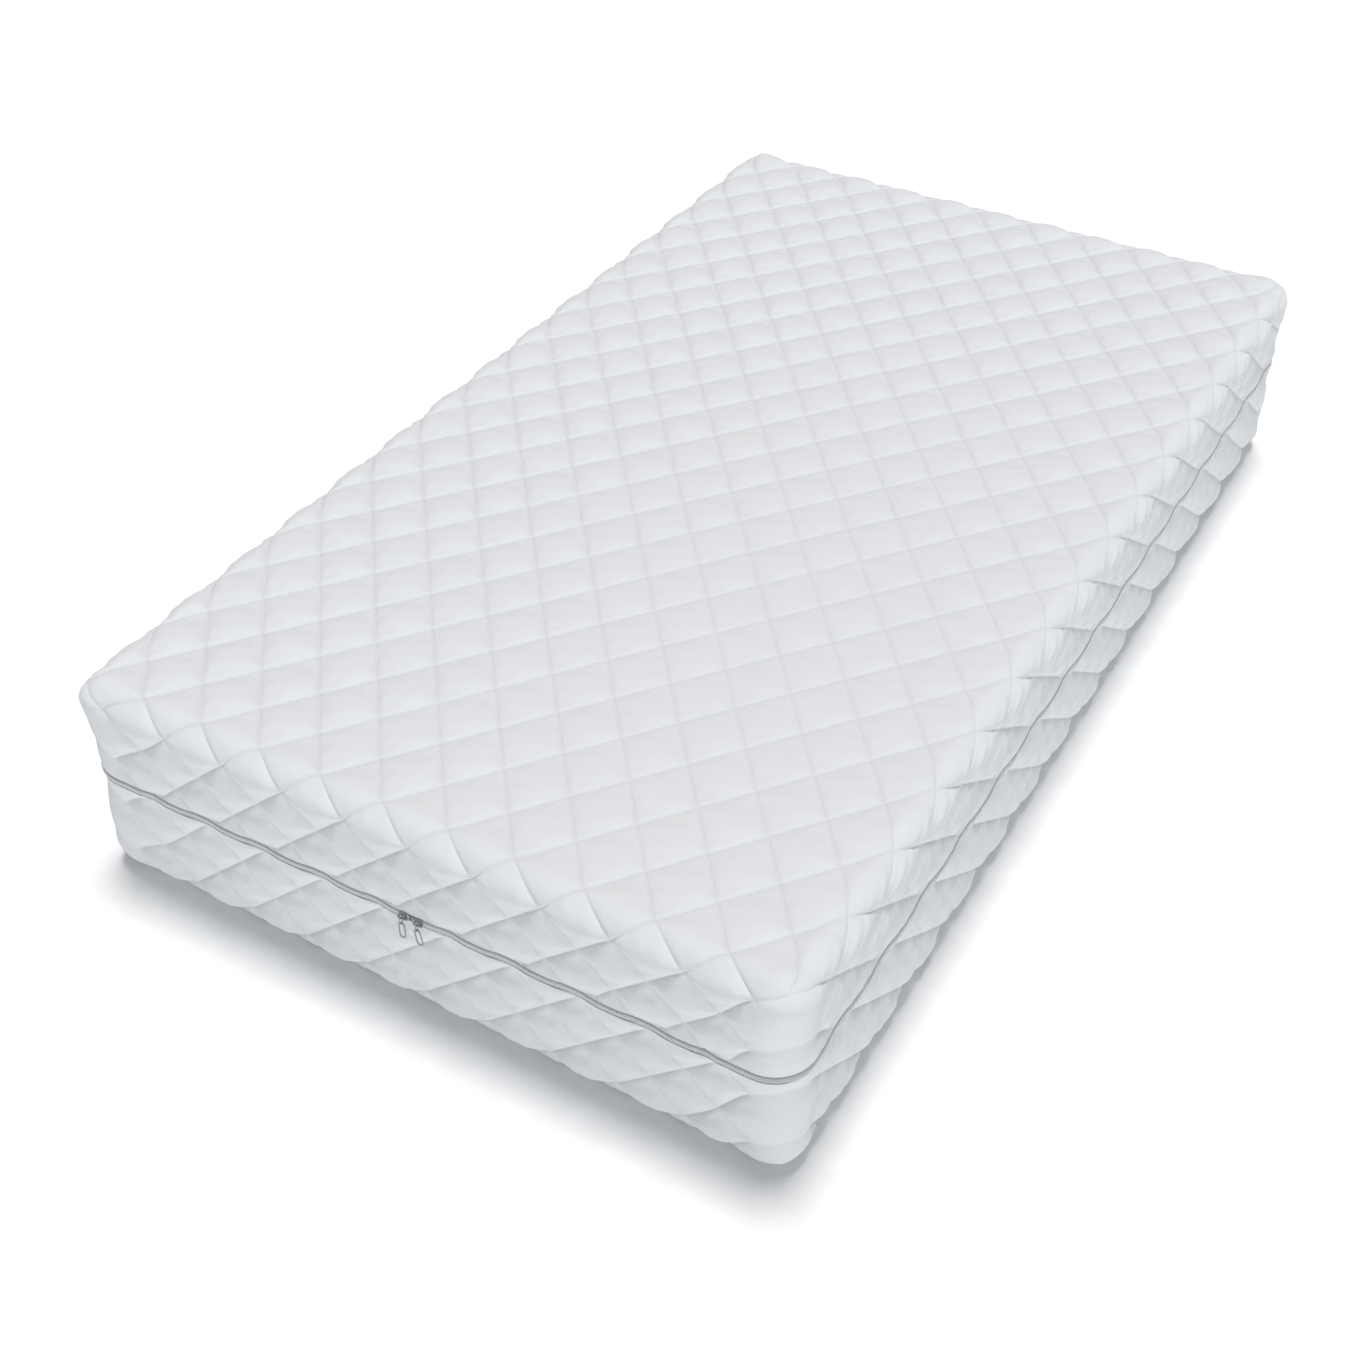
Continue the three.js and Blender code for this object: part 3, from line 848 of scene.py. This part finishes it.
def zip_coil(name, side):
    """One row of teeth: a flattened coil of wire, half a turn out of step with the other row."""
    places, out, inward = zip_line(3.6 * MM, COIL_PITCH / COIL_STEPS)
    turn = np.arange(len(places)) * 2 * np.pi / COIL_STEPS + (0 if side > 0 else np.pi)
    height = side * (COIL_MIDDLE - COIL_REACH * np.cos(turn))
    depth = inward + COIL_DEPTH + COIL_RISE * np.sin(turn)
    path = at_zip(places, out, depth, height)
    along = np.gradient(path, axis=0)
    along /= np.linalg.norm(along, axis=1, keepdims=True)
    out3 = np.concatenate([out, np.zeros((len(out), 1))], 1)
    first = np.cross(along, out3)
    first /= np.linalg.norm(first, axis=1, keepdims=True)
    second = np.cross(along, first)
    around = (np.arange(5) * 2 * np.pi / 5)[None, :, None]
    section = np.cos(around) * first[:, None] + np.sin(around) * second[:, None]
    return sweep(name, path[:, None] + COIL_WIRE * section)


# ---------------------------------------------------------------- materials


def new_material(name, color, roughness, **sockets):
    """A Principled material, its shader and its node tree. sockets holds constant inputs."""
    material = bpy.data.materials.new(name)
    material.use_nodes = True
    tree = material.node_tree
    shader = tree.nodes["Principled BSDF"]
    shader.inputs["Base Color"].default_value = (*color, 1)
    shader.inputs["Roughness"].default_value = roughness
    for socket, value in sockets.items():
        shader.inputs[socket.replace("_", " ")].default_value = value
    return material, tree, shader


def node(tree, kind, inputs=(), **settings):
    """A shader node. inputs pairs each socket with its constant or with what feeds it."""
    made = tree.nodes.new(kind)
    for name, value in settings.items():
        setattr(made, name, value)
    for socket, value in inputs:
        if hasattr(value, "is_output"):
            tree.links.new(value, made.inputs[socket])
        else:
            made.inputs[socket].default_value = value
    return made


def calc(tree, operation, first, second=0.0, third=0.0):
    """A Math node's result."""
    made = node(tree, "ShaderNodeMath", [(0, first), (1, second), (2, third)], operation=operation)
    return made.outputs[0]


def blend_colors(tree, share, low, high):
    """A mix of two colours, each given as a tuple or a socket."""
    made = node(tree, "ShaderNodeMix", data_type="RGBA")
    for socket, value in ((0, share), (6, low), (7, high)):
        if hasattr(value, "is_output"):
            tree.links.new(value, made.inputs[socket])
        else:
            made.inputs[socket].default_value = value if socket == 0 else (*value, 1)
    return made.outputs[2]


def texture(tree, kind, scale, **sockets):
    """The value of a Noise or Voronoi texture, fixed to the piece."""
    place = node(tree, "ShaderNodeTexCoord").outputs["Object"]
    inputs = [("Vector", place), ("Scale", scale), *sockets.items()]
    return node(tree, f"ShaderNodeTex{kind}", inputs).outputs[0]


def toned(color, share):
    """The colour made lighter or darker."""
    return tuple(min(1, share * value) for value in color)


def give_color(tree, shader, color):
    tree.links.new(color, shader.inputs["Base Color"])


def give_relief(tree, shader, strength, distance, height):
    """A bump in the surface, on top of the mesh's own shape."""
    inputs = [("Strength", strength), ("Distance", distance), ("Height", height)]
    tree.links.new(node(tree, "ShaderNodeBump", inputs).outputs[0], shader.inputs["Normal"])


KNIT_COLOR = (0.69, 0.695, 0.705)
# The seams' grooves are darkened towards this grey: partly the thread's colour, partly painted shade
# in the groove.
SEAM_SHADE_AND_THREAD_COLOR = (0.5, 0.51, 0.53)
SEAM_GROOVE = (0.3, 3.0)  # mm from a seam's middle to where its groove starts and ends


def knit_material():
    """A napped knit with a fine groove along the seams, found from the quilt attribute, painted
    darker there: partly thread grey, partly painted shade.
    """
    material, tree, shader = new_material(
        "white_knit", KNIT_COLOR, 0.9, Sheen_Weight=0.15, Sheen_Roughness=0.6, Specular_IOR_Level=0.2)
    quilt = node(tree, "ShaderNodeAttribute", attribute_name="quilt").outputs["Vector"]
    parts = node(tree, "ShaderNodeSeparateXYZ", [(0, quilt)])
    away = []
    for phase in parts.outputs[0:2]:
        whole = calc(tree, "ROUND", phase)
        cells = calc(tree, "ABSOLUTE", calc(tree, "SUBTRACT", phase, whole))
        away.append(calc(tree, "MULTIPLY", cells, SEAM_SPAN / MM))
    nearest = calc(tree, "MINIMUM", away[0], away[1])
    groove = node(tree, "ShaderNodeMapRange",
                  [(0, nearest), (1, SEAM_GROOVE[0]), (2, SEAM_GROOVE[1]), (3, 1.0), (4, 0.0)],
                  interpolation_type="SMOOTHSTEP")
    sewn = calc(tree, "MULTIPLY", groove.outputs[0], parts.outputs[2])
    mottle = texture(tree, "Noise", 18.0, Detail=4.0)
    plain = blend_colors(tree, mottle, toned(KNIT_COLOR, 0.97), toned(KNIT_COLOR, 1.03))
    # Painted shade in the seams' grooves, together with the thread's grey, as a darkening of the
    # knit's colour.
    painted_seam_shade = calc(tree, "MULTIPLY", sewn, 0.16)
    give_color(tree, shader, blend_colors(tree, painted_seam_shade, plain, SEAM_SHADE_AND_THREAD_COLOR))
    loops = calc(tree, "MULTIPLY", texture(tree, "Voronoi", 900.0), 0.5)
    nap = calc(tree, "ADD", loops, texture(tree, "Noise", 260.0, Detail=3.0))
    relief = calc(tree, "SUBTRACT", nap, calc(tree, "MULTIPLY", sewn, 1.5))
    give_relief(tree, shader, 0.5, 0.35 * MM, relief)
    return material


def simple_material(name, color, roughness, scale, height, **sockets):
    """A plain surface with a grain of the given scale and height."""
    material, tree, shader = new_material(name, color, roughness, **sockets)
    grain = texture(tree, "Noise", scale, Detail=4.0)
    give_color(tree, shader, blend_colors(tree, grain, toned(color, 0.94), toned(color, 1.05)))
    give_relief(tree, shader, 0.5, height, grain)
    return material


def foam_material(name, color, pores):
    """Open cells, with painted shade darkening their insides, and a finer grain between them."""
    material, tree, shader = new_material(name, color, 0.95, Specular_IOR_Level=0.15)
    cells = texture(tree, "Voronoi", pores)
    grain = texture(tree, "Noise", 0.3 * pores, Detail=5.0)
    # Painted shade: the cells' hollow middles are coloured darker.
    give_color(tree, shader, blend_colors(tree, cells, toned(color, 0.86), toned(color, 1.04)))
    give_relief(tree, shader, 0.7, 0.5 * MM, calc(tree, "ADD", cells, grain))
    return material


def ribbed_material(name, color):
    """Fine upright knitted ribs, with painted shade in the hollows between them."""
    material, tree, shader = new_material(name, color, 0.9, Sheen_Weight=0.1, Specular_IOR_Level=0.2)
    place = node(tree, "ShaderNodeTexCoord").outputs["Object"]
    parts = node(tree, "ShaderNodeSeparateXYZ", [(0, place)])
    across = calc(tree, "ADD", parts.outputs[0], parts.outputs[1])
    rib = calc(tree, "SINE", calc(tree, "MULTIPLY", across, 2 * math.pi / RIB_PITCH))
    share = calc(tree, "MULTIPLY_ADD", rib, 0.5, 0.5)
    # Painted shade: the hollows between the ribs are coloured darker.
    give_color(tree, shader, blend_colors(tree, share, toned(color, 0.9), color))
    give_relief(tree, shader, 0.6, 0.3 * MM, share)
    return material


# ---------------------------------------------------------------- stage


def sun_lamp(name, towards, energy, softness):
    """A soft sun that shines from the direction given. softness is its width in degrees."""
    data = bpy.data.lights.new(name, "SUN")
    data.energy = energy
    data.angle = math.radians(softness)
    lamp = bpy.data.objects.new(name, data)
    bpy.context.scene.collection.objects.link(lamp)
    lamp.rotation_euler = Vector(towards).to_track_quat("Z", "Y").to_euler()
    return data


def studio():
    """A white floor and backdrop, a weak dome of light, a low sun without shadows that lifts
    the walls, and a high sun that casts the soft shadow round the mattress."""
    corners = np.array([(-1, -1, 0), (1, -1, 0), (1, 1, 0), (-1, 1, 0)], float)
    floor = mesh_object("floor", FLOOR_REACH * corners, [(0, 1, 2, 3)])
    white = simple_material("floor_white", (0.95, 0.95, 0.95), 0.9, 30.0, 0.01 * MM)
    floor.data.materials.append(white)
    world = bpy.context.scene.world or bpy.data.worlds.new("World")
    bpy.context.scene.world = world
    world.use_nodes = True
    tree = world.node_tree
    dome = tree.nodes["Background"]
    dome.inputs[0].default_value = (0.95, 0.98, 1.02, 1)
    dome.inputs[1].default_value = 0.25
    backdrop = node(tree, "ShaderNodeBackground", [(0, (1, 1, 1, 1)), (1, 1.0)])
    seen = node(tree, "ShaderNodeLightPath").outputs["Is Camera Ray"]
    both = node(tree, "ShaderNodeMixShader",
                [(0, seen), (1, dome.outputs[0]), (2, backdrop.outputs[0])])
    tree.links.new(both.outputs[0], tree.nodes["World Output"].inputs[0])
    fill = sun_lamp("fill", (0.64, -0.74, 0.15), 1.35, 20)
    fill.use_shadow = False
    fill.color = (0.93, 0.97, 1.0)
    sun_lamp("overhead", (-0.06, 0.16, 1), 2.5, 19)
    bpy.context.scene.view_settings.view_transform = "Standard"


def camera():
    data = bpy.data.cameras.new("camera")
    data.sensor_width = 36
    data.lens = CAMERA_LENS
    made = bpy.data.objects.new("camera", data)
    bpy.context.scene.collection.objects.link(made)
    made.location = CAMERA_PLACE
    made.rotation_euler = Vector(CAMERA_VIEW).to_track_quat("-Z", "Y").to_euler()
    bpy.context.scene.camera = made


# ---------------------------------------------------------------- assembly


def put_in(piece, node_name, material):
    """Gives a made piece its material and body, and hides the CAD node it stands in for."""
    piece.data.materials.append(material)
    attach(piece, "mattress")
    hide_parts(node_name)


camera()
studio()

tape = simple_material("woven_tape", (0.36, 0.37, 0.39), 0.8, 700.0, 0.1 * MM)
coil = simple_material("coil_plastic", (0.74, 0.75, 0.77), 0.45, 300.0, 0.02 * MM)
knit = knit_material()
fibre = simple_material("polyester_wadding", (0.88, 0.88, 0.86), 0.95, 160.0, 0.8 * MM)
backing = simple_material("non_woven_backing", (0.82, 0.82, 0.8), 0.9, 420.0, 0.1 * MM)
metal = simple_material("nickel_plate", (0.36, 0.365, 0.375), 0.3, 500.0, 0.01 * MM, Metallic=1.0)

for side, half in ((1, "upper"), (-1, "lower")):
    woven = zip_tape(f"woven_zip_tape_{half}", side)
    put_in(woven, f"zip_tape_{half}", tape)
    put_in(zip_coil(f"zip_teeth_{half}", side), f"zip_coil_{half}", coil)
    put_in(wadding(half), f"{half}_cover_wadding", fibre)
    inside = lining(half)
    put_in(inside, f"{half}_cover_lining", backing)
put_in(upper_cover(), "upper_cover_knit", knit)
put_in(lower_cover(), "lower_cover_knit", knit)

stockinette = ribbed_material("ribbed_stockinette", (0.85, 0.85, 0.83))
bag = sleeve()
bag_seam = sleeve_seam()
put_in(bag, "inner_sleeve", stockinette)
put_in(bag_seam, "sleeve_end_seam", stockinette)

FOAMS = [("memory_foam_layer", "memory_foam", (0.87, 0.85, 0.76), 900.0),
         ("transition_foam_layer", "transition_foam", (0.67, 0.76, 0.82), 700.0),
         ("support_foam_core", "support_foam", (0.91, 0.89, 0.85), 450.0)]
for name, slot, color, pores in FOAMS:
    block = foam_block(f"{slot}_block", name)
    put_in(block, name, foam_material(f"{slot}_cells", color, pores))

label = care_label()
satin = simple_material("blank_satin", (0.88, 0.88, 0.88), 0.4, 1500.0, 0.02 * MM, Sheen_Weight=0.3)
put_in(label, "care_label", satin)

for name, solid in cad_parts.items():
    if any(word in name for word in ("slider", "link", "pull", "end_stop")):
        solid.data.materials.clear()
        solid.data.materials.append(metal)
